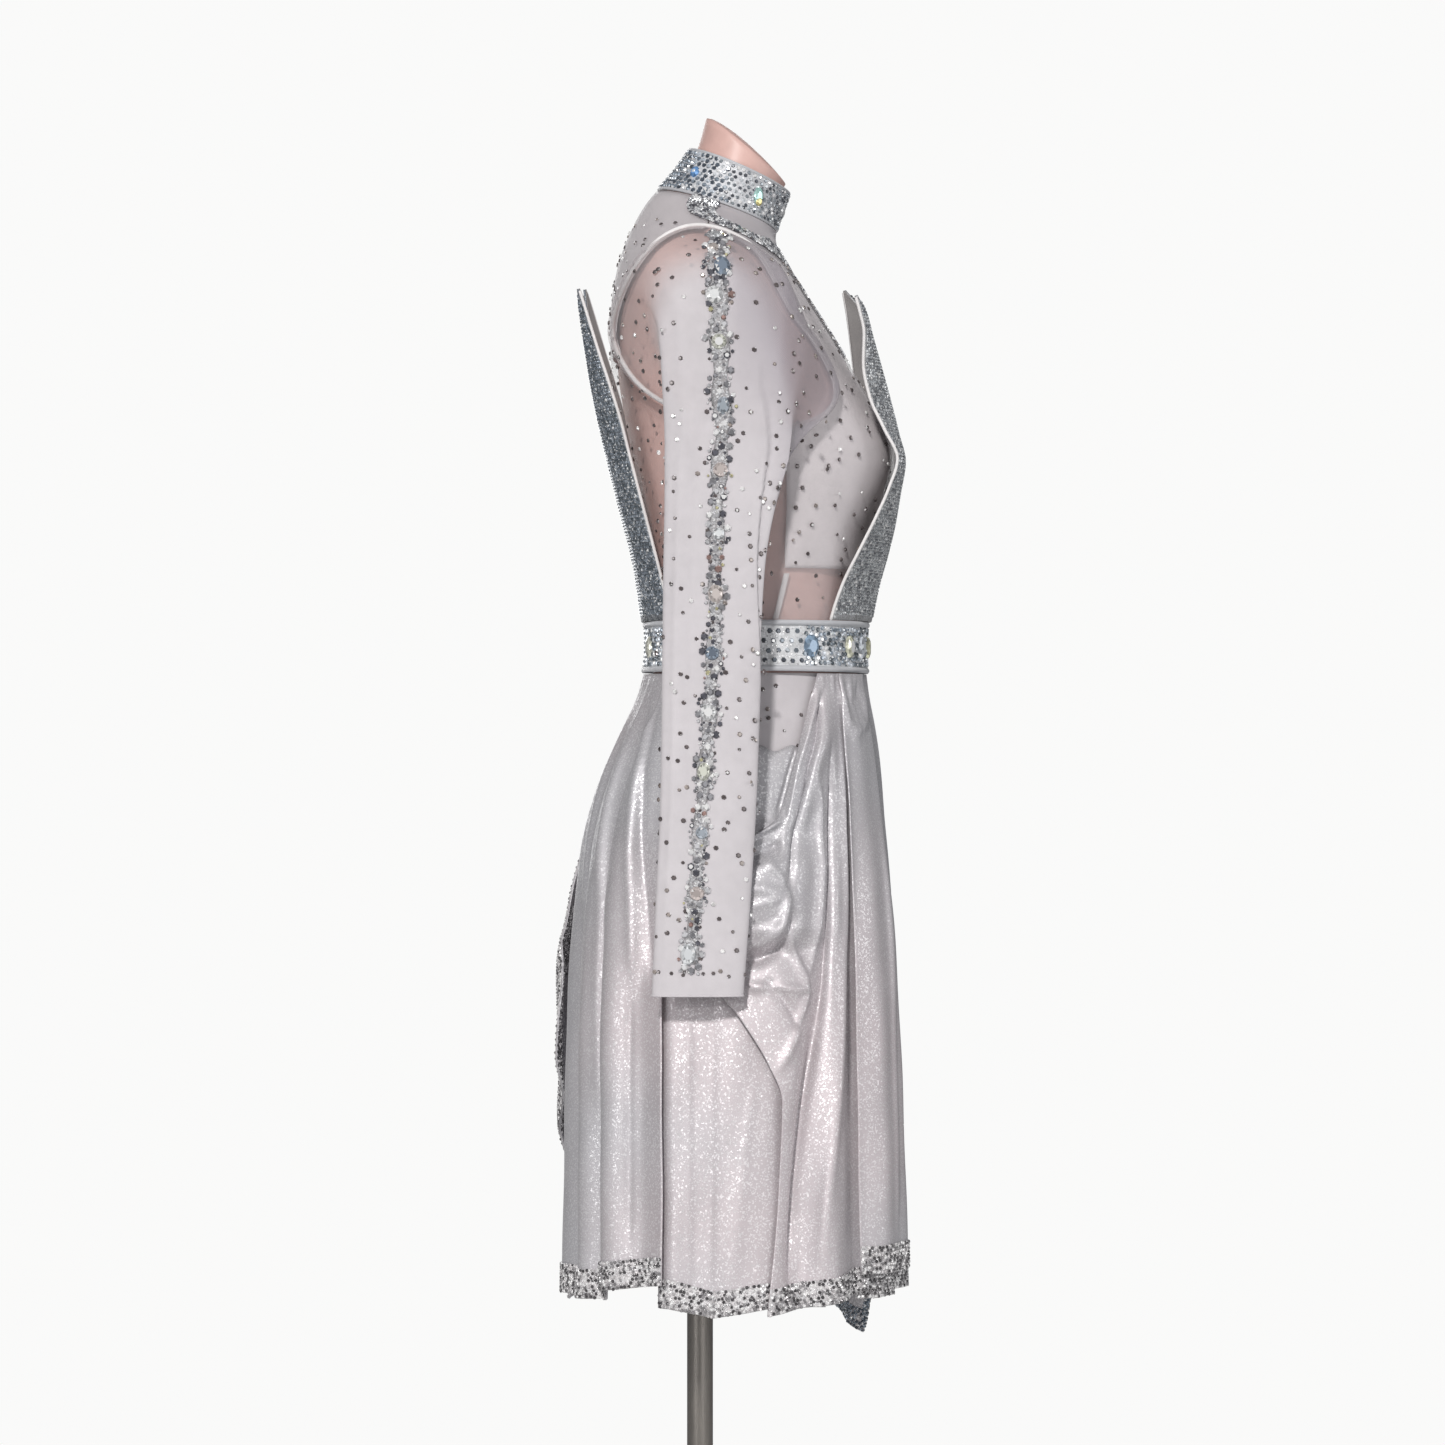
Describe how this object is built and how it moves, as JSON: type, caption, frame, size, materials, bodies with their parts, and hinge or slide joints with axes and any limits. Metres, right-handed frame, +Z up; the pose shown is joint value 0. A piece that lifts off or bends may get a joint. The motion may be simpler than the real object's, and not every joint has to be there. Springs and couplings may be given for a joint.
{
  "type": "latin dance dress on a limbless dress form",
  "caption": "Long-sleeved latin dance dress with a high stone-set collar, open shell lapels, a stone waistband and a draped short skirt, worn by a limbless dress form on a round-based stand.",
  "frame": {"origin": "centre of the base plate's underside, on the pole's axis", "axes": "+Z up, the dress faces -Y, the wearer's right side is -X"},
  "size_m": [0.4344, 0.368, 1.4897],
  "materials": {
    "stretch_mesh": "sheer pale lilac-grey stretch net with small glass stones",
    "silver_satin": "silver satin with a fine sparkle",
    "lining": "pale matt lining",
    "tape": "pale satin tape and piping",
    "stones": "close-set faceted glass stones on cloth",
    "form_lacquer": "smooth pink lacquer",
    "steel": "brushed"
  },
  "bodies": {
    "root": {"armhole_binding_left": "tape", "armhole_binding_right": "tape", "bodice_back": "stretch_mesh", "bodice_front": "stretch_mesh", "cascade_band": "stones", "centre_line": "stones", "collar": "stones", "form_socket": "steel", "form_torso": "form_lacquer", "hem_back": "stones", "hem_back_left": "stones", "hem_back_right": "stones", "hem_drape_left": "stones", "hem_drape_right": "stones", "hem_front": "stones", "hem_front_overlap": "stones", "hem_left_front": "stones", "hem_side_left": "stones", "hem_side_right": "stones", "hip_yoke": "stretch_mesh", "lapel_back_left": "stones", "lapel_back_right": "stones", "lapel_front_left": "stones", "lapel_front_right": "stones", "lining_back": "lining", "lining_front": "lining", "piping_back_left": "tape", "piping_back_right": "tape", "piping_front_left": "tape", "piping_front_right": "tape", "side_tape_left": "tape", "side_tape_right": "tape", "skirt_back": "silver_satin", "skirt_back_left": "silver_satin", "skirt_back_right": "silver_satin", "skirt_cascade": "silver_satin", "skirt_drape_left": "silver_satin", "skirt_drape_right": "silver_satin", "skirt_front": "silver_satin", "skirt_front_overlap": "silver_satin", "skirt_left_front": "silver_satin", "skirt_side_left": "silver_satin", "skirt_side_right": "silver_satin", "sleeve_left": "stretch_mesh", "sleeve_right": "stretch_mesh", "sleeve_stones_left": "stones", "sleeve_stones_right": "stones", "stand_base": "steel", "stand_pole": "steel", "waistband": "stones", "yoke_line_left": "stones", "yoke_line_right": "stones"}
  },
  "joints": []
}
